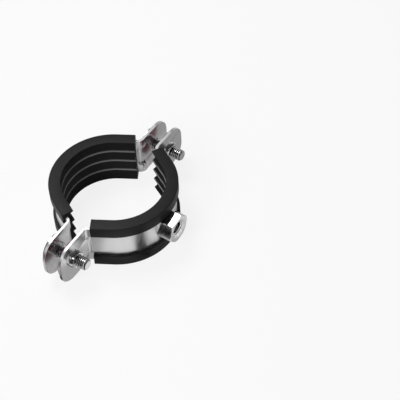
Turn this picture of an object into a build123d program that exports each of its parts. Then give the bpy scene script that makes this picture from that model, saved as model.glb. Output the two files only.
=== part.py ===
"""Rubber lined pipe clamp with two screws: two steel half rings, each in a
ribbed rubber liner, pulled together by a screw through the ears on each side.

Millimetres. The origin is the centre of the pipe that the fixed (front) half
seats, half way along the clamp's width. +X points from there to the boss nut
that the clamp hangs from, and the moving (rear) half closes that way. +Y runs
to the right-hand ears and +Z along the pipe. The clamp is drawn open.
"""
import os
from math import asin, cos, radians, sin

from build123d import *

# --- pipe and rubber liner -------------------------------------------------
pipe_diameter = 48.5        # across the tips of the ribs, halves closed
rib_count = 4               # saw teeth across the liner's width
rib_depth = 1.8             # tip to root of a tooth
rib_lean = 0.82             # share of a tooth's pitch under its long flank
rib_land = 0.5              # flat at the tip of a tooth, half of it at a rim
liner_web = 1.35            # rubber between the rib roots and the band
liner_edge = 2.2            # rubber beyond each edge of the band
lip_thickness = 1.5         # rubber folded over the outside of the band
lip_gap = 14.7              # bare band between the two lips
lip_round = 0.5             # rounding of the liner's outer corners
liner_slack = 0.05          # the liner is threaded loosely on to the band
liner_run = 9.65            # straight liner past each end of its arc

# --- steel band ------------------------------------------------------------
band_width = 23.0
band_thickness = 1.5
arc_half_angle = 61.4       # degrees of true arc each side of +X
ear_setback = 1.7           # ear's inner face to the pipe's centre plane
bend_radius = 2.0           # inside radius where the band turns to an ear
screw_spread = 41.4         # pipe's centre to each screw
ear_reach = 11.0            # screw to the end of its ear
ear_corner = 9.0            # rounding of the ear's corners
ear_hole = 6.6
gusset_width = 12.5         # pressed stiffener across each bend
gusset_rise = 1.1           # how far it stands out of the bend's corner
gusset_slope = 1.0          # width of each sloping side of the stiffener
gusset_steps = 3            # steps that make up a sloping side
opening = 4.3               # how far the moving half stands off as drawn

# --- boss nut and its seat on the band -------------------------------------
boss_across_flats = 14.0
boss_height = 7.5
boss_turn = 10.0            # degrees from +Y to the first corner
boss_chamfer = 0.8
hanger_drill = 6.65         # core of the M8 thread
hanger_mouth = 8.6          # wide end of the thread's lead-in
hanger_lead_in = 0.9        # depth of the lead-in
seat_width = 14.0           # flat pressed into the band under the boss
seat_ramp = 1.6             # from the edge of the flat to the true arc
seat_drop = 0.6             # how far the flat lies inside the arc's top

# --- screws, nuts and retaining washers ------------------------------------
screw_diameter = 6.0
screw_length = 18.5
screw_point = 0.7
head_diameter = 15.5
head_height = 5.0
head_rim = 2.7              # straight edge under the dome
head_play = 0.05
drive_width = 1.3
drive_length = 7.6
drive_depth = 2.0
nut_across_flats = 8.6
nut_height = 1.9
nut_chamfer = 0.4
running_play = 0.05         # radial, round a screw in its nut and washer
retainer_diameter = 21.0
retainer_thickness = 1.0

# --- worked out ------------------------------------------------------------
seat_radius = pipe_diameter / 2
band_inner = seat_radius + rib_depth + liner_web
band_outer = band_inner + band_thickness
liner_width = band_width + 2 * liner_edge
ear_outer_face = ear_setback + band_thickness
ear_tip = screw_spread + ear_reach
seat_face = band_outer - seat_drop
screw_radius = screw_diameter / 2
far = 3 * ear_tip


def facing(angle):
    """Unit vector at this many degrees from +X."""
    return Vector(cos(radians(angle)), sin(radians(angle)))


def meet(first, second):
    """Where two lines cross, each given as (angle it faces, its distance)."""
    (a, p), (b, q) = first, second
    spread = sin(radians(b - a))
    x = (p * sin(radians(b)) - q * sin(radians(a))) / spread
    y = (q * cos(radians(a)) - p * cos(radians(b))) / spread
    return Vector(x, y)


def both_sides(points):
    """These points, and their mirror images in reverse order."""
    return [*points, *(Vector(p.X, -p.Y) for p in reversed(points))]


# --- the band --------------------------------------------------------------
def sheet_line(depth, rise):
    """Ear-to-ear line through the band, this deep from its pipe side.

    A rise carries the bend straight across its hollow corner instead.
    """
    ear = (0, ear_setback + depth)
    run = (arc_half_angle, band_inner + depth)
    points = [Vector(ear_setback + depth, ear_tip)]
    if rise:
        middle = arc_half_angle / 2
        corner = meet((0, ear_outer_face), (arc_half_angle, band_outer))
        level = corner.dot(facing(middle)) + rise - band_thickness
        crest = (middle, level + depth)
        points += [meet(ear, crest), meet(crest, run)]
    else:
        points += [meet(ear, run)]
    bends = [bend_radius + band_thickness - depth] * (len(points) - 1)
    top = meet(run, (-arc_half_angle, band_inner + depth))
    line = both_sides(points)
    line.insert(len(points), top)
    return FilletPolyline(*line, radius=(*bends, band_inner + depth, *bends))


def sheet(rise, width):
    """Bent strip of this width, its bends raised by this much."""
    pipe_side = sheet_line(0, rise)
    outside = sheet_line(band_thickness, rise)
    tips = [Line(pipe_side @ k, outside @ k) for k in (0, 1)]
    return extrude(make_face([pipe_side, outside, *tips]), width / 2, both=True)


def stiffened_strip():
    """The strip, with a stiffener pressed out across both of its bends."""
    strip = sheet(0, band_width)
    for step in range(gusset_steps):
        width = gusset_width - 2 * gusset_slope * step / gusset_steps
        rise = gusset_rise * (step + 1) / gusset_steps
        strip = strip - Box(far, far, width) + sheet(rise, width)
    return strip


def band_half():
    """Strip cut to rounded ears, with a screw hole in each."""
    outline = RectangleRounded(2 * ear_tip, band_width, ear_corner)
    band = stiffened_strip() & extrude(Plane.YZ * outline, far, both=True)
    for side in (1, -1):
        band -= Pos(0, side * screw_spread) * rod(ear_hole / 2, -far, far)
    return band


def seat_outline(play=0.0):
    """Section of the flat that is pressed into the band under the boss."""
    reach = seat_width / 2 + seat_ramp
    turn = asin(reach / band_outer)
    ramp_foot = [(r * cos(turn), r * sin(turn)) for r in (band_outer, band_inner)]
    edge = seat_width / 2
    inner_edge = edge * band_inner / band_outer
    right = [ramp_foot[0], (seat_face, edge)]
    inside = [(seat_face - band_thickness, inner_edge), ramp_foot[1]]
    left = [(x, -y) for x, y in reversed(right)]
    inside_left = [(x, -y) for x, y in reversed(inside)]
    outline = make_face(Polyline(*right, *left, *inside_left, *inside, close=True))
    return offset(outline, play) if play else outline


def seat_sector():
    """Wedge of the ring that the pressed flat takes the place of."""
    reach = seat_width / 2 + seat_ramp
    turn = asin(reach / band_outer)
    edge = (far * cos(turn), far * sin(turn))
    wedge = make_face(Polyline((0, 0), edge, (edge[0], -edge[1]), close=True))
    return extrude(wedge, band_width, both=True)


def make_band_front():
    flat = extrude(seat_outline(), band_width / 2, both=True)
    return band_half() - seat_sector() + flat


# --- the rubber liner ------------------------------------------------------
def rib_points():
    """Saw-tooth line of the bore, from the top rim down to the bottom one."""
    pitch = liner_width / rib_count
    tip = -(liner_web + rib_depth)
    top = liner_width / 2
    points = [(tip, top)]
    for tooth in range(rib_count):
        start = top - tooth * pitch
        points.append((tip, start - rib_land / 2))
        points.append((-liner_web, start - rib_lean * pitch))
        points.append((tip, start - pitch + rib_land / 2))
    return [*points, (tip, -top)]


def liner_section():
    """Section of the liner: distance out from the band's pipe side, height."""
    pocket = band_width / 2 + liner_slack
    back = band_thickness + liner_slack
    skin = band_thickness + lip_thickness
    edge = liner_width / 2
    hook = [(skin, edge), (skin, lip_gap / 2), (back, lip_gap / 2),
            (back, pocket), (-liner_slack, pocket)]
    lower = [(x, -z) for x, z in reversed(hook)]
    outline = make_face(Polyline(*hook, *lower, *reversed(rib_points()), close=True))
    corners = outline.vertices().filter_by(lambda v: v.X > skin - 0.01)
    return fillet(corners, lip_round)


def liner_half():
    """The section swept round the half ring and along its straight ends."""
    outward = facing(arc_half_angle)
    end = band_inner * outward + liner_run * facing(arc_half_angle + 90)
    top = meet((arc_half_angle, band_inner), (-arc_half_angle, band_inner))
    path = FilletPolyline(end, top, Vector(end.X, -end.Y), radius=band_inner)
    start = Plane(origin=path @ 0, x_dir=outward, z_dir=path % 0)
    return sweep(start * liner_section(), path=path)


def make_liner_front():
    """Its web is pressed in by the boss's seat, and its lips clear the boss."""
    height = band_width / 2 + liner_slack
    seat = extrude(seat_outline(liner_slack), height, both=True)
    flats = boss_across_flats + 4 * liner_slack
    boss = hex_bar(flats, seat_face, seat_face + boss_height, boss_turn)
    return liner_half() - seat - boss


# --- turned and hexagonal pieces -------------------------------------------
def rod(radius, start, end):
    """Cylinder along X."""
    bar = Cylinder(radius, end - start, align=(Align.CENTER, Align.CENTER, Align.MIN))
    return Pos(start, 0) * Rot(0, 90, 0) * bar


def hex_bar(across_flats, start, end, turn=0.0):
    """Hexagonal bar along X, a corner turned this far up from +Y."""
    outline = RegularPolygon(across_flats / 2, 6, major_radius=False, rotation=turn)
    return extrude(Plane.YZ.offset(start) * outline, end - start)


def crowned_nut(across_flats, start, end, relief, turn=0.0):
    """Hexagonal bar with the corners turned off its outer end."""
    corner = across_flats / 2 / cos(radians(30))
    blank = rod(corner, start, end)
    blank = chamfer(blank.faces().sort_by(Axis.X)[-1].edges(), relief)
    return hex_bar(across_flats, start, end, turn) & blank


def make_boss_nut():
    """Welded boss with a blind M8 thread, shown at its core diameter."""
    top = seat_face + boss_height
    boss = crowned_nut(boss_across_flats, seat_face, top, boss_chamfer, boss_turn)
    wide, narrow = hanger_mouth / 2, hanger_drill / 2
    lead_in = Pos(top - hanger_lead_in / 2, 0) * Rot(0, 90, 0) * Cone(
        narrow, wide, hanger_lead_in)
    return boss - rod(narrow, seat_face, top) - lead_in


def make_nut(side):
    """Thin M6 hexagon nut, pressed on to the outside of a front ear."""
    end = ear_outer_face + nut_height
    nut = crowned_nut(nut_across_flats, ear_outer_face, end, nut_chamfer)
    nut -= rod(screw_radius + running_play, ear_outer_face, end)
    return Pos(0, side * screw_spread) * nut


def make_retainer(side):
    """Plastic washer that keeps a screw in the front half."""
    face = ear_setback - retainer_thickness
    washer = rod(retainer_diameter / 2, face, ear_setback)
    washer -= rod(screw_radius + running_play, face, ear_setback)
    return Pos(0, side * screw_spread) * washer


def make_screw(side):
    """Low domed head with a cross recess, on a plain-drawn M6 shank."""
    seat = -opening - ear_outer_face - head_play
    shank = rod(screw_radius, seat, seat + screw_length)
    shank = chamfer(shank.faces().sort_by(Axis.X)[-1].edges(), screw_point)
    rise = head_height - head_rim
    dome_radius = (head_diameter ** 2 / 4 + rise ** 2) / (2 * rise)
    dome = Pos(seat - head_height + dome_radius, 0) * Sphere(dome_radius)
    head = rod(head_diameter / 2, seat - head_height, seat) & dome
    slot = Box(2 * drive_depth, drive_length, drive_width)
    cross = Pos(seat - head_height, 0) * (slot + Rot(90, 0, 0) * slot)
    return Pos(0, side * screw_spread) * (head + shank - cross)


# --- the moving half and the files -----------------------------------------
def moving_half(piece):
    """The same piece turned over to face the front half, and drawn back."""
    return Pos(-opening, 0) * Rot(0, 180, 0) * piece


def make_all():
    pieces = {
        "band_front": make_band_front(),
        "liner_front": make_liner_front(),
        "boss_nut": make_boss_nut(),
        "band_rear": moving_half(band_half()),
        "liner_rear": moving_half(liner_half()),
    }
    for name, side in (("right", 1), ("left", -1)):
        pieces[f"nut_{name}"] = make_nut(side)
        pieces[f"retainer_{name}"] = make_retainer(side)
        pieces[f"screw_{name}"] = make_screw(side)
    return pieces


os.makedirs("parts", exist_ok=True)
for node, piece in make_all().items():
    piece.label = node
    export_step(piece, f"parts/{node}.step")
    print(f"{node}: {piece.volume:.0f} mm3")
print(f"boss end {seat_face + boss_height:.2f} mm from the pipe's centre")
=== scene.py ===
# %% [markdown]
# # A rubber lined pipe clamp
# Two bent steel half rings hold a pipe between ribbed rubber liners. A screw through the
# ears on each side draws them together, and a hexagonal boss takes the rod that the clamp
# hangs from. The solids of the clamp are loaded first, as a frame that is never moved.
# Each cell then makes one piece or one finish in the place that the frame gives it.

# %% Load the frame
import math

import bmesh
import bpy
from mathutils import Matrix, Vector


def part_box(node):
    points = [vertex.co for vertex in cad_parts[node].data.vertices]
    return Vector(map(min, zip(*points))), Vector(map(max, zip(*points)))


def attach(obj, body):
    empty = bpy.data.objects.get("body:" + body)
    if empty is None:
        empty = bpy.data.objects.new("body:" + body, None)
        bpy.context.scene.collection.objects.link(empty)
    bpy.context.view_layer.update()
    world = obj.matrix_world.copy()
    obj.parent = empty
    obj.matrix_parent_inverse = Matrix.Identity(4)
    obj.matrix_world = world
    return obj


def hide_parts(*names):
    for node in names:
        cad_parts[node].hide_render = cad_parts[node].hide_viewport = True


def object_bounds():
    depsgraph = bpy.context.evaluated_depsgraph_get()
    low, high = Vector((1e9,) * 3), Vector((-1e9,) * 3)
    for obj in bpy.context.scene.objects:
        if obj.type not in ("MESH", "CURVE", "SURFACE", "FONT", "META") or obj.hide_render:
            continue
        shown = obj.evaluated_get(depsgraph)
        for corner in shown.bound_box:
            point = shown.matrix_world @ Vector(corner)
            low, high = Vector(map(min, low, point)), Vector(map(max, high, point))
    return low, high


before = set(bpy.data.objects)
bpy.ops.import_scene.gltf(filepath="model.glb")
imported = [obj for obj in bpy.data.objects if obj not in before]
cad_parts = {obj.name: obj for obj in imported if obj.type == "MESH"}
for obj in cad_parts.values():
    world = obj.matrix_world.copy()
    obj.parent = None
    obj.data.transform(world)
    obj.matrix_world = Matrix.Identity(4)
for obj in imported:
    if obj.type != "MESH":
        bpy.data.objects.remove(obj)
cad_low, cad_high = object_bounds()
MM = 0.001

# %% [markdown]
# ## Sizes
# A clamp is made to fit one pipe, so all of its sizes hang together. They could be typed in
# one by one, but then a piece could miss the solid that it stands for. So whatever a box of
# the frame can tell is read from it: the width of the band, how far the ears reach, where
# the screws lie. Only what a box can't tell, such as a thickness, is written down here.

# %% Sizes read from the frame
band_low, band_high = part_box("band_front")
liner_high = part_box("liner_front")[1]
boss_low, boss_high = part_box("boss_nut")
screw_low, screw_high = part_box("screw_right")
nut_low, nut_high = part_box("nut_right")
washer_low, washer_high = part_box("retainer_right")

BAND_HALF_WIDTH = band_high.z
EAR_TIP = band_high.y
EAR_SETBACK = band_low.x
LINER_HALF_WIDTH = liner_high.z
SCREW_SPREAD = (screw_low.y + screw_high.y) / 2
HEAD_RADIUS = (screw_high.y - screw_low.y) / 2
OPENING = -(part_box("band_rear")[1].x + EAR_SETBACK)
print(f"ears reach {EAR_TIP / MM:.1f} mm, screws at {SCREW_SPREAD / MM:.1f} mm, "
      f"open by {OPENING / MM:.1f} mm")

# %% Sizes that the boxes don't give
BAND_INNER = 27.4 * MM
BAND_THICKNESS = 1.5 * MM
BAND_OUTER = BAND_INNER + BAND_THICKNESS
ARC_HALF_ANGLE = math.radians(61.4)
BEND_RADIUS = 2.0 * MM
EAR_CORNER = 9.0 * MM
EAR_HOLE = 3.3 * MM
EAR_OUTER_FACE = EAR_SETBACK + BAND_THICKNESS
HEAD_SEAT = -OPENING - EAR_OUTER_FACE - 0.05 * MM
print(f"the band is {BAND_THICKNESS / MM:.1f} mm thick, the heads sit at "
      f"{HEAD_SEAT / MM:.2f} mm")

# %% [markdown]
# ## From a bmesh to an object
# Pressed and turned metal is smooth with a few crisp edges. Blender can smooth by an angle
# with a modifier on every piece, but sharp edges that are marked in the mesh itself need
# none. So one helper marks them, and another makes a mesh into an object at the origin,
# because the place of a piece is kept in its mesh.

# %% Sharp edges and objects
def sharpen(bm, angle):
    """Smooth faces, with a crease at each edge that turns by more than this."""
    for face in bm.faces:
        face.smooth = True
    for edge in bm.edges:
        edge.smooth = edge.calc_face_angle(0.0) < math.radians(angle)


def crease(piece, angle):
    """Mark the sharp edges of a finished mesh."""
    bm = bmesh.new()
    bm.from_mesh(piece.data)
    sharpen(bm, angle)
    bm.to_mesh(piece.data)
    bm.free()


def make_object(name, bm, material=None):
    """Object of this mesh, at the origin."""
    mesh = bpy.data.meshes.new(name)
    bm.to_mesh(mesh)
    bm.free()
    made = bpy.data.objects.new(name, mesh)
    bpy.context.scene.collection.objects.link(made)
    if material:
        mesh.materials.append(material)
    return made


trial = bmesh.new()
bmesh.ops.create_cube(trial, size=1.0)
sharpen(trial, angle=30)
print("a cube has", sum(not edge.smooth for edge in trial.edges), "sharp edges")
trial.free()

# %% [markdown]
# ## Round and hexagonal stock
# The screws, nuts, washers and the boss all start as bar. Cylinders could be stacked up,
# but a lathe makes each of them in one pass, so a turned shape is a half section that is
# spun once round the X axis. A hexagon is a circle of six corners, extruded. Both are
# built along +X, the way that the screws point.

# %% Spin a half section round the X axis
def lathe(section, steps=64):
    """Closed solid of revolution from (x, radius) points, on the X axis."""
    bm = bmesh.new()
    corners = [bm.verts.new((x, radius, 0.0)) for x, radius in section]
    for first, second in zip(corners, corners[1:] + corners[:1]):
        if first.co.y > 0.0 or second.co.y > 0.0:
            bm.edges.new((first, second))
    bmesh.ops.spin(bm, geom=bm.verts[:] + bm.edges[:], cent=(0, 0, 0), axis=(1, 0, 0),
                   angle=2 * math.pi, steps=steps, use_merge=True)
    bmesh.ops.remove_doubles(bm, verts=bm.verts, dist=1e-7)
    bmesh.ops.recalc_face_normals(bm, faces=bm.faces)
    return bm


trial = lathe([(0.0, 0.0), (0.0, 1.0), (1.0, 1.0), (1.0, 0.0)])
print(f"a turned disc holds {trial.calc_volume() / math.pi:.3f} of a true one")
trial.free()

# %% Extrude a hexagon along the X axis
def hexagon(across_flats, start, end, turn=0.0):
    """Hexagonal bar along X, a corner turned this far up from +Y."""
    bm = bmesh.new()
    corner = across_flats / 2 / math.cos(math.pi / 6)
    ring = bmesh.ops.create_circle(bm, cap_ends=True, segments=6, radius=corner)
    bmesh.ops.rotate(bm, verts=ring["verts"], matrix=Matrix.Rotation(math.pi / 2, 3, "Y"))
    first = max(ring["verts"], key=lambda v: v.co.y)
    lean = math.atan2(first.co.z, first.co.y)
    bmesh.ops.rotate(bm, verts=ring["verts"], matrix=Matrix.Rotation(turn - lean, 3, "X"))
    bmesh.ops.translate(bm, verts=ring["verts"], vec=(start, 0, 0))
    grown = bmesh.ops.extrude_face_region(bm, geom=bm.faces[:])
    tips = [v for v in grown["geom"] if isinstance(v, bmesh.types.BMVert)]
    bmesh.ops.translate(bm, verts=tips, vec=(end - start, 0, 0))
    bmesh.ops.recalc_face_normals(bm, faces=bm.faces)
    return bm


trial = hexagon(1.0, 0.0, 1.0)
print("a hexagonal bar has", len(trial.faces), "faces")
trial.free()

# %% [markdown]
# ## A real thread
# The screws stand out of the clamp, so their thread is seen from close by. A bump pattern
# would leave its outline straight, and a Screw modifier would leave its ends open. The spin
# operator can also move a tooth's outline along the axis at every step, so it draws the
# whole helix at once. Each turn then meets the next one, the doubles are merged, and the
# two ends are sawn off flat. Last, the tip is chamfered by pulling in whatever stands
# outside a cone.

# %% Threaded rod along the X axis
THREAD_STEPS = 32


def threaded_rod(core, crest, pitch, start, end, chamfer=0.0):
    """Closed rod with a right-hand thread from start to end."""
    bm = bmesh.new()
    profile = [(0.0, core), (pitch / 4, core), (pitch * 9 / 16, crest),
               (pitch * 11 / 16, crest), (pitch, core)]
    first = start - pitch * 1.5
    corners = [bm.verts.new((first + x, radius, 0.0)) for x, radius in profile]
    for a, b in zip(corners, corners[1:]):
        bm.edges.new((a, b))
    turns = math.ceil((end - first) / pitch) + 1
    bmesh.ops.spin(bm, geom=bm.verts[:] + bm.edges[:], cent=(0, 0, 0), axis=(1, 0, 0),
                   dvec=(pitch / THREAD_STEPS, 0, 0), angle=2 * math.pi * turns,
                   steps=turns * THREAD_STEPS)
    bmesh.ops.remove_doubles(bm, verts=bm.verts, dist=pitch * 0.01)
    for place, side in ((start, -1), (end, 1)):
        bmesh.ops.bisect_plane(bm, geom=bm.verts[:] + bm.edges[:] + bm.faces[:],
                               plane_co=(place, 0, 0), plane_no=(side, 0, 0),
                               clear_outer=True)
        rim = [e for e in bm.edges if e.is_boundary
               and all(abs(v.co.x - place) < 1e-7 for v in e.verts)]
        bmesh.ops.holes_fill(bm, edges=rim, sides=0)
    bmesh.ops.recalc_face_normals(bm, faces=bm.faces)
    for vert in bm.verts:
        limit = crest - max(0.0, vert.co.x - (end - chamfer))
        radius = math.hypot(vert.co.y, vert.co.z)
        if radius > limit:
            vert.co.y *= limit / radius
            vert.co.z *= limit / radius
    return bm


trial = threaded_rod(0.8, 1.0, 0.5, 0.0, 2.0)
print("four turns of thread have", len(trial.faces), "faces and",
      sum(edge.is_boundary for edge in trial.edges), "open edges")
trial.free()

# %% [markdown]
# ## Shared effects
# Each finish here has patches that are a little duller than the rest, and the metal also
# has fine grain that runs one way. They could be drawn again in each material, but then a
# change to one would miss the others. So each is a shader node group with named inputs,
# built once and placed with its own values wherever it is needed.

# %% Node group helpers
def new_group(name, inputs, outputs):
    """Empty shader node group with these sockets, and its two end nodes."""
    tree = bpy.data.node_groups.new(name, "ShaderNodeTree")
    for label, kind, value in inputs:
        socket = tree.interface.new_socket(label, in_out="INPUT", socket_type=kind)
        if value is not None:
            socket.default_value = value
    for label, kind in outputs:
        tree.interface.new_socket(label, in_out="OUTPUT", socket_type=kind)
    return tree, tree.nodes.new("NodeGroupInput"), tree.nodes.new("NodeGroupOutput")


def math_node(tree, operation, first, second):
    """Math node of two values, each a socket or a number."""
    node = tree.nodes.new("ShaderNodeMath")
    node.operation = operation
    for socket, value in zip(node.inputs, (first, second)):
        if isinstance(value, (int, float)):
            socket.default_value = value
        else:
            tree.links.new(value, socket)
    return node.outputs[0]


FLOAT, VECTOR = "NodeSocketFloat", "NodeSocketVector"
print("groups pass on", FLOAT, "and", VECTOR)

# %% Patches: broad and fine mottling
patches, p_in, p_out = new_group(
    "patches",
    [("Vector", VECTOR, None), ("Broad Scale", FLOAT, 60.0), ("Fine Scale", FLOAT, 900.0),
     ("Base", FLOAT, 0.3), ("Broad Amount", FLOAT, 0.1), ("Fine Amount", FLOAT, 0.05)],
    [("Value", FLOAT), ("Height", FLOAT)])
broad = patches.nodes.new("ShaderNodeTexNoise")
fine = patches.nodes.new("ShaderNodeTexNoise")
for noise, label in ((broad, "Broad Scale"), (fine, "Fine Scale")):
    noise.inputs["Detail"].default_value = 4.0
    patches.links.new(p_in.outputs["Vector"], noise.inputs["Vector"])
    patches.links.new(p_in.outputs[label], noise.inputs["Scale"])
value = p_in.outputs["Base"]
for noise, label in ((broad, "Broad Amount"), (fine, "Fine Amount")):
    centred = math_node(patches, "SUBTRACT", noise.outputs["Fac"], 0.5)
    swing = math_node(patches, "MULTIPLY", centred, p_in.outputs[label])
    value = math_node(patches, "ADD", value, swing)
patches.links.new(value, p_out.inputs["Value"])
patches.links.new(fine.outputs["Fac"], p_out.inputs["Height"])
print("node group patches:", len(patches.nodes), "nodes")

# %% Grain: fine lines along one axis of the pattern
grain, g_in, g_out = new_group(
    "grain",
    [("Vector", VECTOR, None), ("Along", FLOAT, 30.0), ("Across", FLOAT, 4000.0)],
    [("Lines", FLOAT)])
split = grain.nodes.new("ShaderNodeSeparateXYZ")
join = grain.nodes.new("ShaderNodeCombineXYZ")
lines = grain.nodes.new("ShaderNodeTexNoise")
lines.inputs["Scale"].default_value = 1.0
lines.inputs["Detail"].default_value = 3.0
grain.links.new(g_in.outputs["Vector"], split.inputs[0])
for axis, label in (("X", "Along"), ("Y", "Across"), ("Z", "Across")):
    scaled = math_node(grain, "MULTIPLY", split.outputs[axis], g_in.outputs[label])
    grain.links.new(scaled, join.inputs[axis])
grain.links.new(join.outputs[0], lines.inputs["Vector"])
grain.links.new(lines.outputs["Fac"], g_out.inputs["Lines"])
print("node group grain:", len(grain.nodes), "nodes")

# %% [markdown]
# ## Zinc plate
# All of the steel is zinc plated and bright. A plain metal with one roughness would look
# like a mirror or like paint, because real plate is never even. So the roughness swings a
# little in patches, and grain that is far too fine to be modelled is left to a bump.

# %% A surface, and groups placed in it
def surface(name, color, roughness, metallic=0.0):
    """Material with a Principled BSDF set to plain values."""
    material = bpy.data.materials.new(name)
    material.use_nodes = True
    shader = material.node_tree.nodes["Principled BSDF"]
    shader.inputs["Base Color"].default_value = (*color, 1.0)
    shader.inputs["Roughness"].default_value = roughness
    shader.inputs["Metallic"].default_value = metallic
    print(f"material {name}: roughness {roughness}")
    return material, material.node_tree, shader


def place_group(tree, group, coordinates, **values):
    """Group node fed by these coordinates, with its values set."""
    node = tree.nodes.new("ShaderNodeGroup")
    node.node_tree = group
    tree.links.new(coordinates, node.inputs["Vector"])
    for label, value in values.items():
        node.inputs[label.replace("_", " ")].default_value = value
    return node


def add_bump(tree, shader, height, strength, distance):
    """Let a height pattern tilt the light a little."""
    bump = tree.nodes.new("ShaderNodeBump")
    bump.inputs["Strength"].default_value = strength
    bump.inputs["Distance"].default_value = distance
    tree.links.new(height, bump.inputs["Height"])
    tree.links.new(bump.outputs["Normal"], shader.inputs["Normal"])


print("each material starts as a Principled BSDF")

# %% Zinc
PLATE_DEPTH = 0.02 * MM


def zinc(name, color, roughness, where, along, across, strength):
    """Bright zinc plate, with duller patches and grain."""
    material, tree, shader = surface(name, color, roughness, metallic=1.0)
    coordinates = tree.nodes.new("ShaderNodeTexCoord").outputs[where]
    tone = place_group(tree, patches, coordinates, Broad_Scale=90.0, Fine_Scale=1500.0,
                       Base=roughness, Broad_Amount=0.10, Fine_Amount=0.06)
    tree.links.new(tone.outputs["Value"], shader.inputs["Roughness"])
    marks = place_group(tree, grain, coordinates, Along=along, Across=across)
    add_bump(tree, shader, marks.outputs["Lines"], strength, PLATE_DEPTH)
    return material, tree, tone, coordinates


turned_zinc = zinc("turned_zinc", (0.76, 0.76, 0.77), 0.09, "Object",
                   along=2500.0, across=200.0, strength=0.1)[0]

# %% [markdown]
# ## The strip's own finish
# The ring is rolled strip with a satin sheen, and its grain runs along it. Where the press
# flattened the ears the plate is brighter. Two materials would meet there in a line, so one
# material changes from satin to bright along the strip. It reads the piece's own UV map,
# which runs along the strip and goes round the bends with it. The sheared edges of the
# strip are duller, so they get a material of their own.

# %% A smooth change between two marks
def smooth_range(tree, value, start, end, at_start, at_end):
    """Value that changes smoothly from one level to the other between two marks."""
    node = tree.nodes.new("ShaderNodeMapRange")
    node.interpolation_type = "SMOOTHSTEP"
    for label, number in (("From Min", start), ("From Max", end),
                          ("To Min", at_start), ("To Max", at_end)):
        node.inputs[label].default_value = number
    tree.links.new(value, node.inputs["Value"])
    return node.outputs["Result"]


ROLLED_ROUGHNESS = 0.33
PRESSED_ROUGHNESS = 0.22
RING_ENDS = 40 * MM
EARS_BEGIN = 45 * MM
strip_zinc, tree, tone, coordinates = zinc(
    "strip_zinc", (0.78, 0.78, 0.785), ROLLED_ROUGHNESS, "UV",
    along=40.0, across=2500.0, strength=0.15)
split = tree.nodes.new("ShaderNodeSeparateXYZ")
tree.links.new(coordinates, split.inputs[0])
from_middle = math_node(tree, "ABSOLUTE", split.outputs["X"], 0.0)
finish = smooth_range(tree, from_middle, RING_ENDS, EARS_BEGIN, ROLLED_ROUGHNESS,
                      PRESSED_ROUGHNESS)
tree.links.new(finish, tone.inputs["Base"])

# %% Sheared edges
cut_zinc = zinc("cut_zinc", (0.60, 0.60, 0.61), 0.40, "UV",
                along=2500.0, across=300.0, strength=0.1)[0]

# %% [markdown]
# ## Painted shade in the thread roots
# The root of a thread is deep, and little light gets into it, so its shade is painted into
# the colour. Ambient occlusion could find the roots, but it would also darken every place
# where another piece comes near. The distance from the screw's axis depends on the screw
# alone. It is worked out from the object coordinates, and the painted shade darkens the
# colour below the crest. The head and the end face have no thread, so they stay bright.

# %% Screw zinc
SCREW_RADIUS = 3.0 * MM
THREAD_DEPTH = 0.62 * MM
SCREW_COLOR = (0.74, 0.74, 0.75)
ROOT_SHADE_COLOR = (0.12, 0.12, 0.12)
screw_zinc, tree, tone, coordinates = zinc(
    "screw_zinc", SCREW_COLOR, 0.19, "Object", along=2500.0, across=200.0, strength=0.1)
split = tree.nodes.new("ShaderNodeSeparateXYZ")
tree.links.new(coordinates, split.inputs[0])
sideways = math_node(tree, "ABSOLUTE", split.outputs["Y"], 0.0)
sideways = math_node(tree, "SUBTRACT", sideways, SCREW_SPREAD)
sideways = math_node(tree, "MULTIPLY", sideways, sideways)
upward = math_node(tree, "MULTIPLY", split.outputs["Z"], split.outputs["Z"])
squares = math_node(tree, "ADD", sideways, upward)
from_axis = math_node(tree, "POWER", squares, 0.5)

# %% Painted root shade between the head and the tip
END_FADE = 0.1 * MM
TIP_FACE = screw_high.x - 0.02 * MM
DARK_WITHIN = SCREW_RADIUS - THREAD_DEPTH * 0.9
BRIGHT_BEYOND = SCREW_RADIUS - THREAD_DEPTH * 0.35
on_shank = smooth_range(tree, split.outputs["X"], HEAD_SEAT - END_FADE, HEAD_SEAT, 0.0, 1.0)
short_of_tip = smooth_range(tree, split.outputs["X"], screw_high.x - END_FADE, TIP_FACE,
                            1.0, 0.0)
painted_root_shade = smooth_range(tree, from_axis, DARK_WITHIN, BRIGHT_BEYOND, 1.0, 0.0)
painted_root_shade = math_node(tree, "MULTIPLY", painted_root_shade, on_shank)
painted_root_shade = math_node(tree, "MULTIPLY", painted_root_shade, short_of_tip)


def blend_color(tree, mask, color, other, shader):
    """Base colour that goes from one colour to the other where the mask says."""
    node = tree.nodes.new("ShaderNodeMix")
    node.data_type = "RGBA"
    node.inputs["A"].default_value = (*color, 1.0)
    node.inputs["B"].default_value = (*other, 1.0)
    tree.links.new(mask, node.inputs["Factor"])
    tree.links.new(node.outputs["Result"], shader.inputs["Base Color"])


# Painted shade: the base colour goes dark in the thread roots, where little light gets in.
blend_color(tree, painted_root_shade, SCREW_COLOR, ROOT_SHADE_COLOR, tree.nodes["Principled BSDF"])
print("screw_zinc:", len(tree.nodes), "nodes")
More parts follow.
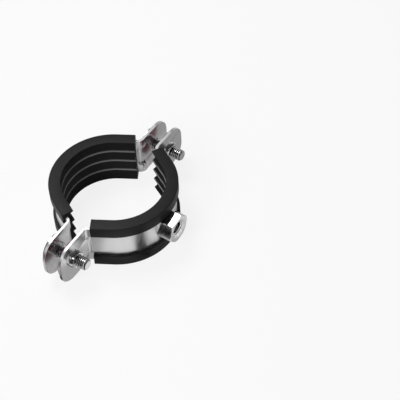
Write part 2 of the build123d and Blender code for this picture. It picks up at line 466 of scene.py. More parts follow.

# %% [markdown]
# ## Rubber and washer plastic
# The rubber is black and satin, and never quite even. The sharp edges of its teeth get a
# glossy coat and a painted highlight, a lighter colour, so they show as thin lines of light.
# Such edges could be found from the shape of the mesh, but here the section of the liner
# knows its own tooth tips. It marks them in an attribute, and the rubber reads it. The
# washers are dark red plastic.

# %% Rubber
RUBBER_COLOR = (0.010, 0.010, 0.010)
TOOTH_HIGHLIGHT_COLOR = (0.20, 0.20, 0.20)
EDGE_STARTS = 0.86
EDGE_FULL = 0.99
black_rubber, tree, shader = surface("black_rubber", RUBBER_COLOR, 0.45)
shader.inputs["Specular IOR Level"].default_value = 0.2
shader.inputs["Coat Roughness"].default_value = 0.2
coordinates = tree.nodes.new("ShaderNodeTexCoord").outputs["Object"]
tone = place_group(tree, patches, coordinates, Broad_Scale=70.0, Fine_Scale=2500.0,
                   Base=0.46, Broad_Amount=0.12, Fine_Amount=0.10)
tree.links.new(tone.outputs["Value"], shader.inputs["Roughness"])
add_bump(tree, shader, tone.outputs["Height"], strength=0.2, distance=0.03 * MM)
tooth_edge = tree.nodes.new("ShaderNodeAttribute")
tooth_edge.attribute_name = "tooth_edge"
gloss_and_painted_highlight = smooth_range(tree, tooth_edge.outputs["Fac"], EDGE_STARTS, EDGE_FULL, 0.0, 1.0)
tree.links.new(gloss_and_painted_highlight, shader.inputs["Coat Weight"])
# Painted highlight: the tooth edges get a lighter base colour, besides their real glossy
# coat.
blend_color(tree, gloss_and_painted_highlight, RUBBER_COLOR, TOOTH_HIGHLIGHT_COLOR, shader)

# %% Washer plastic
maroon_plastic, tree, shader = surface("maroon_plastic", (0.17, 0.02, 0.035), 0.42)
coordinates = tree.nodes.new("ShaderNodeTexCoord").outputs["Object"]
tone = place_group(tree, patches, coordinates, Broad_Scale=150.0, Fine_Scale=3000.0,
                   Base=0.42, Broad_Amount=0.08, Fine_Amount=0.08)
tree.links.new(tone.outputs["Value"], shader.inputs["Roughness"])
add_bump(tree, shader, tone.outputs["Height"], strength=0.15, distance=0.02 * MM)

# %% [markdown]
# ## The steel bands
# A band starts as a flat strip with rounded ends and two holes, and a press bends it. It
# could be drawn in its bent shape, but the holes, the ears and the grain are all easier to
# place on flat strip. So it is made as the press makes it: a flat slab is cut across at
# every couple of degrees so that it can bend, and each of its points is carried to its place
# along the bent line.

# %% The bent line
RUN_TO_CORNER = (BAND_INNER - EAR_SETBACK * math.cos(ARC_HALF_ANGLE)) / math.sin(
    ARC_HALF_ANGLE)
ARC_END = Vector((math.cos(ARC_HALF_ANGLE), math.sin(ARC_HALF_ANGLE))) * BAND_INNER
CORNER = Vector((EAR_SETBACK, RUN_TO_CORNER))
PIPE_SIDE_BEND = BEND_RADIUS + BAND_THICKNESS
BEND_TANGENT = PIPE_SIDE_BEND * math.tan(ARC_HALF_ANGLE / 2)
ARC_LENGTH = BAND_INNER * ARC_HALF_ANGLE
RUN_LENGTH = (CORNER - ARC_END).length - BEND_TANGENT
BEND_LENGTH = PIPE_SIDE_BEND * ARC_HALF_ANGLE
EAR_START = CORNER.y + BEND_TANGENT
HALF_STRIP = ARC_LENGTH + RUN_LENGTH + BEND_LENGTH + EAR_TIP - EAR_START
HOLE_ALONG = HALF_STRIP - (EAR_TIP - SCREW_SPREAD)
BEND_MIDDLE = ARC_LENGTH + RUN_LENGTH + BEND_LENGTH / 2
print(f"half strip {HALF_STRIP / MM:.1f} mm, its hole at {HOLE_ALONG / MM:.1f} mm")

# %% Places along the bent line
def bent_place(along):
    """Point on the band's pipe side and the way it faces, this far along."""
    if along <= ARC_LENGTH:
        angle = along / BAND_INNER
        return Vector((math.cos(angle), math.sin(angle))) * BAND_INNER, angle
    past = along - ARC_LENGTH
    way = Vector((-math.sin(ARC_HALF_ANGLE), math.cos(ARC_HALF_ANGLE)))
    if past <= RUN_LENGTH:
        return ARC_END + way * past, ARC_HALF_ANGLE
    bend_start = ARC_END + way * RUN_LENGTH
    past -= RUN_LENGTH
    if past <= BEND_LENGTH:
        out = Vector((math.cos(ARC_HALF_ANGLE), math.sin(ARC_HALF_ANGLE)))
        centre = bend_start + out * PIPE_SIDE_BEND
        facing = ARC_HALF_ANGLE - past / PIPE_SIDE_BEND
        here = Vector((math.cos(facing), math.sin(facing)))
        return centre - here * PIPE_SIDE_BEND, facing
    return Vector((EAR_SETBACK, EAR_START + past - BEND_LENGTH)), 0.0


place, facing = bent_place(BEND_MIDDLE)
print(f"the bend's middle faces {math.degrees(facing):.1f} degrees, "
      f"{place.y / MM:.1f} mm out")

# %% [markdown]
# ## Stiffeners and seat
# A sharp bend in thin strip would open under load, so a stiffener is pressed across each
# one, and the ring is pressed flat under the boss. A block could be joined on with a
# Boolean, but it would meet the strip in a hard line. A function that falls off smoothly
# says how far each point of the strip is pushed, and it gives the soft rise of the press.

# %% Stiffeners and the pressed seat
STIFFENER_RISE = 1.1 * MM
STIFFENER_HALF_WIDTH = 6.25 * MM
STIFFENER_SLOPE = 1.3 * MM
STIFFENER_REACH = 3.1 * MM
SEAT_FACE = boss_low.x
SEAT_HALF_WIDTH = 7.0 * MM
SEAT_RAMP = 1.6 * MM


def smooth_fall(distance, edge, slope):
    """1 well inside the edge, 0 outside it, with a smooth slope between."""
    share = min(max((edge - distance) / slope, 0.0), 1.0)
    return share * share * (3 - 2 * share)


def stiffener(along, height):
    """How far the stiffener stands out of the bend here."""
    lengthways = smooth_fall(abs(along - BEND_MIDDLE), STIFFENER_REACH, STIFFENER_SLOPE)
    return STIFFENER_RISE * lengthways * smooth_fall(
        abs(height), STIFFENER_HALF_WIDTH, STIFFENER_SLOPE)


def seat_push(angle):
    """How far the flat under the boss moves the band, outwards."""
    side = BAND_OUTER * math.sin(angle)
    flat = SEAT_FACE / math.cos(angle) - BAND_OUTER
    return flat * smooth_fall(side, SEAT_HALF_WIDTH + SEAT_RAMP, SEAT_RAMP)


print(f"the stiffener rises {stiffener(BEND_MIDDLE, 0.0) / MM:.2f} mm, "
      f"the seat moves {seat_push(0.0) / MM:.2f} mm")

# %% [markdown]
# ## Flat strip, then the bend
# The ears are cut round and drilled while the strip is flat. A circle could be drawn into
# the mesh, but a drill that is taken away with an exact Boolean needs no care about where
# its corners fall. The bend comes last, and each face keeps its place along the flat strip
# as its UV, so that the grain follows it round.

# %% Booleans
def apply_modifiers(piece):
    """Bake the piece's modifiers into its mesh."""
    graph = bpy.context.evaluated_depsgraph_get()
    baked = bpy.data.meshes.new_from_object(piece.evaluated_get(graph))
    piece.modifiers.clear()
    piece.data = baked


def cut(piece, cutter, operation="DIFFERENCE", crossing=False):
    """Exact boolean of one piece by another, which is used up and may cross itself."""
    step = piece.modifiers.new("cut", "BOOLEAN")
    step.operation = operation
    step.solver = "EXACT"
    step.use_self = crossing
    step.object = cutter
    apply_modifiers(piece)
    bpy.data.objects.remove(cutter)
    print(f"{piece.name}: {len(piece.data.polygons)} faces after a cut")


print("booleans take one piece from another with the exact solver")

# %% Flat strip
EAR_CORNER_STEPS = 18
DRILL_STEPS = 48


def flat_strip(name):
    """Flat strip along Y, its ears rounded and drilled."""
    bm = bmesh.new()
    bmesh.ops.create_cube(bm, size=1.0)
    bmesh.ops.scale(bm, verts=bm.verts,
                    vec=(BAND_THICKNESS, 2 * HALF_STRIP, 2 * BAND_HALF_WIDTH))
    corners = [e for e in bm.edges if abs(e.verts[0].co.x - e.verts[1].co.x) > 1e-6]
    bmesh.ops.bevel(bm, geom=corners, offset=EAR_CORNER, segments=EAR_CORNER_STEPS,
                    profile=0.5, affect="EDGES", material=-1)
    bmesh.ops.translate(bm, verts=bm.verts, vec=(BAND_THICKNESS / 2, 0, 0))
    strip = make_object(name, bm)
    for side in (1, -1):
        drill = lathe([(-BAND_THICKNESS, 0.0), (-BAND_THICKNESS, EAR_HOLE),
                       (2 * BAND_THICKNESS, EAR_HOLE), (2 * BAND_THICKNESS, 0.0)],
                      DRILL_STEPS)
        bmesh.ops.translate(drill, verts=drill.verts, vec=(0, side * HOLE_ALONG, 0))
        cut(strip, make_object("drill", drill))
    return strip


front_band = flat_strip("front_band")
rear_band = flat_strip("rear_band")

# %% Cuts where the strip will bend
ARC_CUT = math.radians(2.0) * BAND_INNER
BEND_CUT = 0.3 * MM
WIDTH_CUT = 0.45 * MM
arc_cuts = round(ARC_LENGTH / ARC_CUT)
bend_cuts = round((2 * STIFFENER_REACH + BEND_LENGTH) / BEND_CUT / 2)
half_stations = [ARC_LENGTH * k / arc_cuts for k in range(arc_cuts + 1)]
half_stations += [BEND_MIDDLE + BEND_CUT * k for k in range(-bend_cuts // 2, bend_cuts // 2)]
STATIONS = sorted({*half_stations, *(-s for s in half_stations)})
cross_cuts = int(STIFFENER_HALF_WIDTH / WIDTH_CUT) + 1
CROSSINGS = [WIDTH_CUT * k for k in range(-cross_cuts, cross_cuts + 1)]


def cut_across(bm, places, normal, reach):
    """Cut the mesh within this reach of the middle by planes along the normal."""
    for place in places:
        faces = [f for f in bm.faces if abs(f.calc_center_median().y) < reach]
        edges = {e for f in faces for e in f.edges}
        verts = {v for f in faces for v in f.verts}
        bmesh.ops.bisect_plane(bm, geom=[*verts, *edges, *faces], dist=1e-7,
                               plane_co=Vector(normal) * place, plane_no=normal)


print(len(STATIONS), "cuts across the strip,", len(CROSSINGS), "along it")

# %% Bend the strip
FACE_OR_EDGE = 0.5


def bend(strip, has_seat):
    """Carry each point of the flat strip to its place on the bent one."""
    bm = bmesh.new()
    bm.from_mesh(strip.data)
    cut_across(bm, STATIONS, (0, 1, 0), EAR_TIP * 2)
    cut_across(bm, CROSSINGS, (0, 0, 1), max(STATIONS))
    uv = bm.loops.layers.uv.new("along_strip")
    bm.normal_update()
    for face in bm.faces:
        face.material_index = int(abs(face.normal.x) < FACE_OR_EDGE)
        for loop in face.loops:
            loop[uv].uv = (loop.vert.co.y, loop.vert.co.z)
    for vert in bm.verts:
        depth, along, height = vert.co
        side = -1.0 if along < 0.0 else 1.0
        place, facing = bent_place(abs(along))
        depth += stiffener(abs(along), height)
        if has_seat and abs(along) < ARC_LENGTH:
            depth += seat_push(facing)
        place += Vector((math.cos(facing), math.sin(facing))) * depth
        vert.co = (place.x, side * place.y, height)
    sharpen(bm, angle=35)
    bm.to_mesh(strip.data)
    bm.free()
    print(f"{strip.name}: {len(strip.data.vertices)} points bent")


bend(front_band, True)
bend(rear_band, False)

# %% [markdown]
# ## Broken edges
# No edge of a real pressing is truly sharp, and the rounding catches a thin line of light.
# Each edge could be bevelled by hand before the bend, but it would be stretched by it. A
# Bevel modifier finds the edges by their angle afterwards. Hardened normals keep the flat
# faces beside it looking flat.

# %% Break the edges and give the strip its finish
EDGE_BREAK = 0.22 * MM


def round_edges(piece, width, angle=40.0, segments=3):
    """Break the sharp edges, as tumbling and plating do."""
    step = piece.modifiers.new("round", "BEVEL")
    step.width = width
    step.segments = segments
    step.limit_method = "ANGLE"
    step.angle_limit = math.radians(angle)
    step.harden_normals = True
    apply_modifiers(piece)


for band in (front_band, rear_band):
    round_edges(band, EDGE_BREAK)
    band.data.materials.append(strip_zinc)
    band.data.materials.append(cut_zinc)
    print(f"{band.name}: {len(band.data.polygons)} faces with rounded edges")

# %% Put the bands on their bodies
def turn_over(piece):
    """Face the other half and draw back by the opening."""
    back = Matrix.Translation((-OPENING, 0, 0))
    piece.data.transform(back @ Matrix.Rotation(math.pi, 4, "Y"))


def install(piece, body, node):
    """The piece rides on a body and stands for the solid of this node."""
    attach(piece, body)
    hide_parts(node)
    print(f"{piece.name}: {len(piece.data.polygons)} faces on {body}, for {node}")


turn_over(rear_band)
install(front_band, "front_half", "band_front")
install(rear_band, "rear_half", "band_rear")

# %% [markdown]
# ## The rubber liners
# A liner is extruded rubber profile with saw teeth inside and a hook round each edge of the
# band. It is threaded on to the band and cut off square. The teeth could be arrayed on a
# ring, but the real rubber has one section all along. So the section is drawn once, with
# its corners rounded, and carried along the half ring: pulled straight at one end, spun
# round the arc, and pulled straight again. The boss needs a notch in the lips, which is cut
# out with a hexagonal bar.

# %% Corners of the profile
RIB_COUNT = 4
RIB_DEPTH = 1.8 * MM
RIB_LEAN = 0.82
RIB_LAND = 0.5 * MM
LINER_WEB = 1.35 * MM
TOOTH_ROOT = BAND_INNER - LINER_WEB
TOOTH_TIP = TOOTH_ROOT - RIB_DEPTH
LIP_THICKNESS = 1.5 * MM
LIP_GAP = 14.7 * MM
POCKET_SLACK = 0.05 * MM


def liner_points():
    """(radius from the axis, height, rounding in mm) of each corner, in order."""
    pocket = BAND_HALF_WIDTH + POCKET_SLACK
    back = BAND_OUTER + POCKET_SLACK
    inside = BAND_INNER - POCKET_SLACK
    skin = BAND_OUTER + LIP_THICKNESS
    edge = LINER_HALF_WIDTH
    hook = [(skin, edge, 0.5), (skin, LIP_GAP / 2, 0.35), (back, LIP_GAP / 2, 0.2),
            (back, pocket, 0.0), (inside, pocket, 0.0)]
    lower = [(r, -z, rounding) for r, z, rounding in reversed(hook)]
    pitch = 2 * edge / RIB_COUNT
    ribs = [(TOOTH_TIP, edge, 0.25)]
    for tooth in range(RIB_COUNT):
        start = edge - tooth * pitch
        ribs.append((TOOTH_TIP, start - RIB_LAND / 2, 0.2))
        ribs.append((TOOTH_ROOT, start - RIB_LEAN * pitch, 0.3))
        ribs.append((TOOTH_TIP, start - pitch + RIB_LAND / 2, 0.2))
    ribs.append((TOOTH_TIP, -edge, 0.25))
    return [*hook, *lower, *reversed(ribs)]


print("the profile has", len(liner_points()), "corners")

# %% Rounded profile, with its tooth edges marked
EDGE_BAND = 0.25 * MM
OUTER_RIM = 1.0 * MM


def liner_profile(bm):
    """Face of the profile at the end of the arc, before it is pulled."""
    points = liner_points()
    corners = [bm.verts.new((r, 0.0, z)) for r, z, _ in points]
    bm.faces.new(corners)
    for corner, (_, _, rounding) in zip(corners, points):
        if rounding:
            bmesh.ops.bevel(bm, geom=[corner], offset=rounding * MM, segments=4,
                            profile=0.5, affect="VERTICES", material=-1)
    shiny = bm.verts.layers.float.new("tooth_edge")
    for vert in bm.verts:
        on_tooth = abs(vert.co.z) < LINER_HALF_WIDTH - OUTER_RIM
        vert[shiny] = float(on_tooth and vert.co.x < TOOTH_TIP + EDGE_BAND)
    print("rounded profile:", len(bm.verts), "points")
    return bm.faces[:]


# %% Carry the profile along the half ring
LINER_RUN = 9.65 * MM
LINER_STEPS = 72


def pull(bm, geom, vec):
    """Extrude the faces by a vector and return the new ones."""
    grown = bmesh.ops.extrude_face_region(bm, geom=geom)["geom"]
    ends = [v for v in grown if isinstance(v, bmesh.types.BMVert)]
    bmesh.ops.translate(bm, verts=ends, vec=vec)
    return [f for f in grown if isinstance(f, bmesh.types.BMFace)]


def with_edges(faces):
    """The faces and their edges, so that no face is left inside the piece."""
    return faces + list({e for f in faces for e in f.edges})


def make_liner(name):
    """Liner of one half ring, square at both ends."""
    bm = bmesh.new()
    faces = liner_profile(bm)
    bmesh.ops.rotate(bm, verts=bm.verts, matrix=Matrix.Rotation(-ARC_HALF_ANGLE, 3, "Z"))
    way = Vector((-math.sin(ARC_HALF_ANGLE), math.cos(ARC_HALF_ANGLE), 0.0))
    bmesh.ops.translate(bm, verts=bm.verts, vec=Vector((way.x, -way.y, 0)) * LINER_RUN)
    faces = pull(bm, faces, Vector((-way.x, way.y, 0)) * LINER_RUN)
    turned = bmesh.ops.spin(bm, geom=with_edges(faces), cent=(0, 0, 0), axis=(0, 0, 1),
                            angle=2 * ARC_HALF_ANGLE, steps=LINER_STEPS)["geom_last"]
    faces = [f for f in turned if isinstance(f, bmesh.types.BMFace)]
    pull(bm, with_edges(faces), way * LINER_RUN)
    bmesh.ops.remove_doubles(bm, verts=bm.verts, dist=1e-6)
    bmesh.ops.recalc_face_normals(bm, faces=bm.faces)
    print(name, "has", sum(e.is_boundary for e in bm.edges), "open edges")
    return make_object(name, bm, black_rubber)


front_liner = make_liner("front_liner")
rear_liner = make_liner("rear_liner")

# %% Notch for the boss, and the liners on their bodies
BOSS_TURN = math.radians(10.0)
BOSS_FLATS = 14.0 * MM
NOTCH_ROOM = 0.2 * MM
notch = hexagon(BOSS_FLATS + NOTCH_ROOM, SEAT_FACE, boss_high.x, BOSS_TURN)
cut(front_liner, make_object("notch", notch))
turn_over(rear_liner)
crease(front_liner, angle=30)
crease(rear_liner, angle=30)
install(front_liner, "front_half", "liner_front")
install(rear_liner, "rear_half", "liner_rear")

# %% [markdown]
# ## The boss nut
# The boss is a tall hexagon with its corners turned off at the outer end, and the rod that
# the clamp hangs from screws into it. Bevelling the end would give straight edges. A cone
# that is spun on the lathe and intersected with the bar leaves the curved ones that a real
# nut has. The thread is cut by taking a threaded rod away, as a tap does.

# %% Hexagon with turned corners
CORNER_BREAK = 0.2 * MM
CROWN_ANGLE = math.radians(30)
CONE_ROOM = 1.2
CONE_STEPS = 96


def crowned(name, flats, start, end, relief, turn=0.0):
    """Hexagon with the corners of its outer end turned off."""
    bm = hexagon(flats, start, end, turn)
    long_edges = [e for e in bm.edges
                  if abs(e.verts[0].co.x - e.verts[1].co.x) > (end - start) / 2]
    bmesh.ops.bevel(bm, geom=long_edges, offset=CORNER_BREAK, segments=1, profile=0.5,
                    affect="EDGES", material=-1)
    bar = make_object(name, bm)
    corner = flats / 2 / math.cos(math.pi / 6)
    slope = math.tan(CROWN_ANGLE)
    clear = corner * CONE_ROOM
    cone = lathe([(start - relief, 0), (start - relief, clear),
                  (end - relief * slope - relief, clear), (end - relief * slope, corner),
                  (end, corner - relief), (end, 0)], CONE_STEPS)
    cut(bar, make_object("cone", cone), "INTERSECT")
    return bar


BOSS_CHAMFER = 0.8 * MM
boss = crowned("boss", BOSS_FLATS, boss_low.x, boss_high.x, BOSS_CHAMFER, BOSS_TURN)

# %% Tap and countersink the boss
BOSS_CORE = 3.32 * MM
BOSS_CREST = 4.0 * MM
BOSS_PITCH = 1.25 * MM
BOSS_MOUTH = 5.1 * MM
MOUTH_DEPTH = 1.3 * MM
tap = threaded_rod(BOSS_CORE, BOSS_CREST, BOSS_PITCH, boss_low.x - MM, boss_high.x + MM)
cut(boss, make_object("tap", tap))
mouth_bottom = boss_high.x - MOUTH_DEPTH
countersink = lathe([(mouth_bottom, 0), (mouth_bottom, BOSS_CORE),
                     (boss_high.x, BOSS_MOUTH), (boss_high.x + MM, BOSS_MOUTH),
                     (boss_high.x + MM, 0)])
cut(boss, make_object("countersink", countersink))
boss.data.materials.append(turned_zinc)
crease(boss, angle=20)
install(boss, "front_half", "boss_nut")

# %% [markdown]
# ## The screws
# A screw has a wide, low domed head with a cross in it, and a shank that is threaded up to
# the head. A sphere could be squashed for the head, but a dome is part of a large ball, so
# its half section is an arc that is worked out from its height and lathed. The cross is
# cut with two tapered bars that cross each other. Both screws are the same.

# %% Half section of the head
HEAD_HEIGHT = 5.0 * MM
HEAD_RIM = 2.7 * MM
HEAD_CHAMFER = 0.3 * MM
HEAD_TOP = HEAD_SEAT - HEAD_HEIGHT
DOME_STEPS = 14
RISE = HEAD_HEIGHT - HEAD_RIM
DOME_RADIUS = (HEAD_RADIUS ** 2 + RISE ** 2) / (2 * RISE)


def head_section():
    """Half section of the domed head, from its seat round to its top."""
    half_angle = math.asin(HEAD_RADIUS / DOME_RADIUS)
    points = [(HEAD_SEAT, 0.0), (HEAD_SEAT, HEAD_RADIUS - HEAD_CHAMFER),
              (HEAD_SEAT - HEAD_CHAMFER, HEAD_RADIUS)]
    for step in range(DOME_STEPS + 1):
        angle = half_angle * (1 - step / DOME_STEPS)
        points.append((HEAD_TOP + DOME_RADIUS * (1 - math.cos(angle)),
                       DOME_RADIUS * math.sin(angle)))
    return points


print(f"the head is part of a ball of {DOME_RADIUS / MM:.1f} mm radius")

# %% Cross recess
RECESS_SIZE = Vector((6.0, 9.0, 1.9)) * MM
RECESS_TAPER = 0.45
WING_TAPER = 0.8
RECESS_LIFT = 0.3 * MM


def cross_recess():
    """Tapered cross that the driver's point fills."""
    bm = bmesh.new()
    for turn in (0.0, math.pi / 2):
        wing = bmesh.ops.create_cube(bm, size=1.0)["verts"]
        bmesh.ops.scale(bm, verts=wing, vec=RECESS_SIZE)
        for vert in wing:
            if vert.co.x > 0:
                vert.co.y *= RECESS_TAPER
                vert.co.z *= WING_TAPER
        bmesh.ops.rotate(bm, verts=wing, matrix=Matrix.Rotation(turn, 3, "X"))
    bmesh.ops.translate(bm, verts=bm.verts, vec=(HEAD_TOP - RECESS_LIFT, 0, 0))
    return bm


print(f"the cross reaches {(RECESS_SIZE.x / 2 - RECESS_LIFT) / MM:.1f} mm into the head")

# %% Head and shank
SCREW_PITCH = 1.0 * MM
SCREW_POINT = 0.7 * MM
HEAD_STEPS = 72
SHANK_OVERLAP = 0.2 * MM


def make_screw(name):
    """Screw on the X axis, its shank let into its head."""
    screw = make_object(name, lathe(head_section(), HEAD_STEPS))
    cut(screw, make_object("recess", cross_recess()), crossing=True)
    shank = threaded_rod(SCREW_RADIUS - THREAD_DEPTH, SCREW_RADIUS, SCREW_PITCH,
                         HEAD_SEAT - SHANK_OVERLAP, screw_high.x, SCREW_POINT)
    rod = bpy.data.meshes.new("rod")
    shank.to_mesh(rod)
    shank.free()
    bm = bmesh.new()
    bm.from_mesh(screw.data)
    bm.from_mesh(rod)
    bm.to_mesh(screw.data)
    bm.free()
    screw.data.materials.append(screw_zinc)
    crease(screw, angle=25)
    return screw


SIDES = (("left", -SCREW_SPREAD), ("right", SCREW_SPREAD))
for side, place in SIDES:
    screw = make_screw(f"clamp_screw_{side}")
    screw.data.transform(Matrix.Translation((0, place, 0)))
    install(screw, f"{side}_screw", f"screw_{side}")

# %% [markdown]
# ## The small nuts and the washers
# A thin nut is pressed on to each front ear, and a plastic washer inside the ear keeps the
# screw in the front half when the clamp is open. The nuts are low bosses, so the same
# helper makes them. Their bores could be tapped like the boss, but the screw fills them
# and no thread would be seen, so they are left plain. A washer is one lathed section, with
# both rims of its free face broken.

# %% Nuts
PLAY = 0.05 * MM
NUT_FLATS = nut_high.z - nut_low.z
NUT_CHAMFER = 0.4 * MM
NUT_ROUNDING = 0.1 * MM
BORE = SCREW_RADIUS + PLAY


def make_nut(name):
    """Thin nut on the X axis, with a plain bore."""
    nut = crowned(name, NUT_FLATS, nut_low.x, nut_high.x, NUT_CHAMFER)
    bore = lathe([(nut_low.x - MM, 0), (nut_low.x - MM, BORE),
                  (nut_high.x + MM, BORE), (nut_high.x + MM, 0)])
    cut(nut, make_object("bore", bore))
    round_edges(nut, NUT_ROUNDING, angle=35, segments=2)
    crease(nut, angle=30)
    nut.data.materials.append(turned_zinc)
    return nut


print(f"the nuts are {NUT_FLATS / MM:.1f} mm across their flats")

# %% Washers
WASHER_RADIUS = (washer_high.y - washer_low.y) / 2
WASHER_BREAK = 0.2 * MM


def make_washer(name):
    """Washer on the X axis."""
    washer = make_object(name, lathe([
        (washer_low.x + WASHER_BREAK, BORE), (washer_low.x, BORE + WASHER_BREAK),
        (washer_low.x, WASHER_RADIUS - WASHER_BREAK),
        (washer_low.x + WASHER_BREAK, WASHER_RADIUS),
        (washer_high.x, WASHER_RADIUS), (washer_high.x, BORE)]), maroon_plastic)
    crease(washer, angle=50)
    return washer


print(f"the washers are {2 * WASHER_RADIUS / MM:.1f} mm wide")

# %% A nut and a washer on each front ear
for side, place in SIDES:
    nut = make_nut(f"ear_nut_{side}")
    nut.data.transform(Matrix.Translation((0, place, 0)))
    install(nut, "front_half", f"nut_{side}")
    washer = make_washer(f"ear_washer_{side}")
    washer.data.transform(Matrix.Translation((0, place, 0)))
    install(washer, "front_half", f"retainer_{side}")

# %% [markdown]
# ## The floor
# The clamp lies on a plain white floor. To make the floor white with light alone would
# burn out the metal. So the floor is made paler for the camera and for reflections than the
# lamps make it, and it still takes the clamp's shadow.

# %% Which rays see white
def rays_that_see_white(tree, to_camera, to_metal):
    """How white the camera sees a surface, and how white reflections see it."""
    path = tree.nodes.new("ShaderNodeLightPath")
    mirrored = math_node(tree, "MAXIMUM", path.outputs["Is Glossy Ray"],
                         path.outputs["Is Transmission Ray"])
    camera_part = math_node(tree, "MULTIPLY", path.outputs["Is Camera Ray"], to_camera)
    metal_part = math_node(tree, "MULTIPLY", mirrored, to_metal)
    return math_node(tree, "MAXIMUM", camera_part, metal_part)


def mix_shaders(tree, share, first, second, output):
    """Send a blend of two shader nodes to the output."""
    mix = tree.nodes.new("ShaderNodeMixShader")
    tree.links.new(share, mix.inputs["Fac"])
    tree.links.new(first.outputs[0], mix.inputs[1])
    tree.links.new(second.outputs[0], mix.inputs[2])
    tree.links.new(mix.outputs[0], tree.nodes[output].inputs["Surface"])


print("a Light Path node tells the camera and the mirror rays apart")

# %% Floor
FLOOR_SIZE = 3.0
WHITE_TO_CAMERA = 0.85
WHITE_TO_METAL = 0.15
floor_paint, tree, shader = surface("floor_paint", (0.85, 0.85, 0.85), 0.9)
shader.inputs["Specular IOR Level"].default_value = 0.0
glow = tree.nodes.new("ShaderNodeEmission")
whiteness = rays_that_see_white(tree, WHITE_TO_CAMERA, WHITE_TO_METAL)
mix_shaders(tree, whiteness, shader, glow, "Material Output")
bm = bmesh.new()
bmesh.ops.create_grid(bm, x_segments=1, y_segments=1, size=FLOOR_SIZE / 2)
bmesh.ops.translate(bm, verts=bm.verts, vec=(0, 0, cad_low.z))
floor = make_object("floor", bm, floor_paint)
print(f"floor {FLOOR_SIZE:.0f} m wide at {cad_low.z / MM:.1f} mm")

# %% [markdown]
# ## Painted shadows and light for the metal to mirror
# Bright metal has no look of its own: it shows what stands round it, and in an empty white
# room it is one flat pale tone. The lamps could be moved until a shadow fell in the right
# place, but they would change the rubber too. So shadows, shade and pools of light are
# painted on glowing cards that lie on the floor, dark ones for a dark band and white ones
# for a bright band, and a dark card that stands before the clamp is a painted reflection.
# Only reflections see them.

# %% Cards of painted shadow, shade and light
def card_paint(name, grey):
    """Glowing painted shade or light that only reflections see."""
    material, tree, shader = surface(name, (0.0, 0.0, 0.0), 0.9)
    tree.nodes.remove(shader)
    path = tree.nodes.new("ShaderNodeLightPath")
    clear = tree.nodes.new("ShaderNodeBsdfTransparent")
    flat = tree.nodes.new("ShaderNodeEmission")
    flat.inputs["Color"].default_value = (grey, grey, grey, 1.0)
    mix_shaders(tree, path.outputs["Is Glossy Ray"], clear, flat, "Material Output")
    return material


CARD_HEIGHT = cad_low.z / MM + 0.4
TOP_CARD_HEIGHT = CARD_HEIGHT + 0.1
STANDING = 90.0
LYING = 0.0


def card(name, grey, middle, length, width, turn, stand):
    """Card whose length is turned from +X, lying or standing. In mm and degrees."""
    bm = bmesh.new()
    bmesh.ops.create_grid(bm, x_segments=1, y_segments=1, size=0.5)
    bmesh.ops.scale(bm, verts=bm.verts, vec=(length * MM, width * MM, 1.0))
    for angle, axis in ((stand, "X"), (turn, "Z")):
        bmesh.ops.rotate(bm, verts=bm.verts,
                         matrix=Matrix.Rotation(math.radians(angle), 3, axis))
    bmesh.ops.translate(bm, verts=bm.verts, vec=Vector(middle) * MM)
    make_object(name, bm, card_paint(f"{name}_paint", grey))
    print(f"{name}: grey {grey}, {length} by {width} mm")


# Painted shadows, shade and light lying on the floor, and a painted dark reflection standing
# before the clamp.
card("painted_shadow_beside_strip", 0.02, (43, -21, CARD_HEIGHT), 32, 9, -12, LYING)
card("painted_shade_before_ears", 0.42, (6, -39, CARD_HEIGHT), 15, 17, 0, LYING)
card("card_lit_left", 0.86, (23.3, -32.4, TOP_CARD_HEIGHT), 23, 12, 38, LYING)
card("card_lit_right", 0.86, (40, -9, TOP_CARD_HEIGHT), 10, 6, 0, LYING)
card("painted_shade_behind_ears", 0.34, (22, 62, CARD_HEIGHT), 42, 50, 0, LYING)
card("painted_shadow_before_boss", 0.005, (9, -61, CARD_HEIGHT), 28, 25, 0, LYING)
card("painted_dark_reflection_in_front", 0.03, (-29, -80, 11), 220, 50, -20, STANDING)

# %% [markdown]
# ## The room and the lamps
# An environment map could light the clamp, but a few plain values do the same. The room
# gives a weak, even light. Reflections see it white near the floor and dark overhead,
# as in a studio whose lamps hang under a dark ceiling. Three soft lamps do the rest: the
# key and the front lamp shape the ring, and the small one picks out the cut edges.

# %% World
ROOM_COLOR = (0.9, 0.9, 0.9)
ROOM_STRENGTH = 0.16
WALL_FOOT = 0.05
WALL_TOP = 0.6
CEILING_GREY = 0.05
world = bpy.data.worlds.new("studio")
bpy.context.scene.world = world
world.use_nodes = True
tree = world.node_tree
room = tree.nodes["Background"]
room.inputs["Color"].default_value = (*ROOM_COLOR, 1.0)
room.inputs["Strength"].default_value = ROOM_STRENGTH
white = tree.nodes.new("ShaderNodeBackground")
direction = tree.nodes.new("ShaderNodeSeparateXYZ")
tree.links.new(tree.nodes.new("ShaderNodeTexCoord").outputs["Generated"],
               direction.inputs[0])
wall = tree.nodes.new("ShaderNodeMapRange")
wall.inputs["From Min"].default_value = WALL_FOOT
wall.inputs["From Max"].default_value = WALL_TOP
wall.inputs["To Min"].default_value = 1.0
wall.inputs["To Max"].default_value = CEILING_GREY
tree.links.new(direction.outputs["Z"], wall.inputs["Value"])
tree.links.new(wall.outputs["Result"], white.inputs["Color"])
mix_shaders(tree, rays_that_see_white(tree, 1.0, 1.0), room, white, "World Output")
print("the room is lit at", ROOM_STRENGTH)

# %% Lamps
LAMP_DISTANCE = 0.8


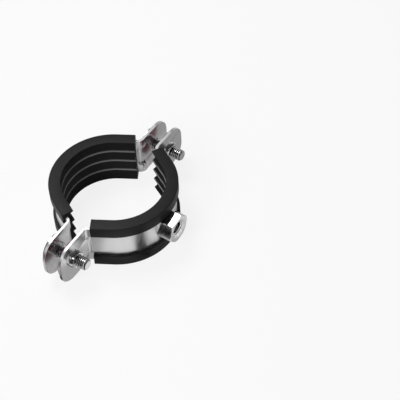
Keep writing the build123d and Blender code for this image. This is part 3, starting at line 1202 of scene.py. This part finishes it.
def soft_lamp(name, azimuth, elevation, size, power):
    """Square area lamp that looks at the clamp from this direction."""
    a, e = math.radians(azimuth), math.radians(elevation)
    back = Vector((math.sin(a) * math.cos(e), -math.cos(a) * math.cos(e), math.sin(e)))
    data = bpy.data.lights.new(name, "AREA")
    data.size = size
    data.energy = power
    lamp = bpy.data.objects.new(name, data)
    lamp.location = back * LAMP_DISTANCE
    lamp.rotation_euler = (-back).to_track_quat("-Z", "Y").to_euler()
    bpy.context.scene.collection.objects.link(lamp)
    print(f"{name}: {power} W from azimuth {azimuth}, elevation {elevation}")


soft_lamp("key", azimuth=255, elevation=64, size=0.35, power=3.4)
soft_lamp("front", azimuth=-5, elevation=35, size=0.3, power=3.0)
soft_lamp("edge", azimuth=214, elevation=50, size=0.16, power=0.2)

# %% [markdown]
# ## The camera
# A small clamp is best seen from above and a little to the right, where its liners, its
# ears and its boss all show. A camera could be aimed with a Track To constraint. Here its
# three axes are worked out from the angles of the view, which also gives the slight roll,
# and the aim is then moved sideways, so that the clamp lies left of the middle.

# %% Camera
VIEW_AZIMUTH = 34.374
VIEW_ELEVATION = 49.572
VIEW_ROLL = 2.41
VIEW_DISTANCE = 602.95 * MM
FOCAL_PIXELS = 1203.22
FRAME_PIXELS = 400
AIM_RIGHT = 42.386 * MM
AIM_UP = -0.8346 * MM
SENSOR_WIDTH = 36.0
NEAREST_SEEN = 10 * MM

a, e, roll = (math.radians(v) for v in (VIEW_AZIMUTH, VIEW_ELEVATION, VIEW_ROLL))
back = Vector((math.sin(a) * math.cos(e), -math.cos(a) * math.cos(e), math.sin(e)))
level = Vector((math.cos(a), math.sin(a), 0.0))
upright = back.cross(level)
right = math.cos(roll) * level - math.sin(roll) * upright
up = math.sin(roll) * level + math.cos(roll) * upright
middle = Vector((-OPENING / 2, 0.0, 0.0))

lens = bpy.data.cameras.new("camera")
lens.sensor_width = SENSOR_WIDTH
lens.lens = FOCAL_PIXELS / FRAME_PIXELS * SENSOR_WIDTH
lens.clip_start = NEAREST_SEEN
camera = bpy.data.objects.new("camera", lens)
camera.matrix_world = Matrix.Translation(
    middle + right * AIM_RIGHT + up * AIM_UP + back * VIEW_DISTANCE
) @ Matrix((right, up, back)).transposed().to_4x4()
bpy.context.scene.collection.objects.link(camera)
bpy.context.scene.camera = camera
bpy.context.scene.view_settings.view_transform = "Standard"
print(f"camera: {lens.lens:.1f} mm lens at {VIEW_DISTANCE / MM:.0f} mm")
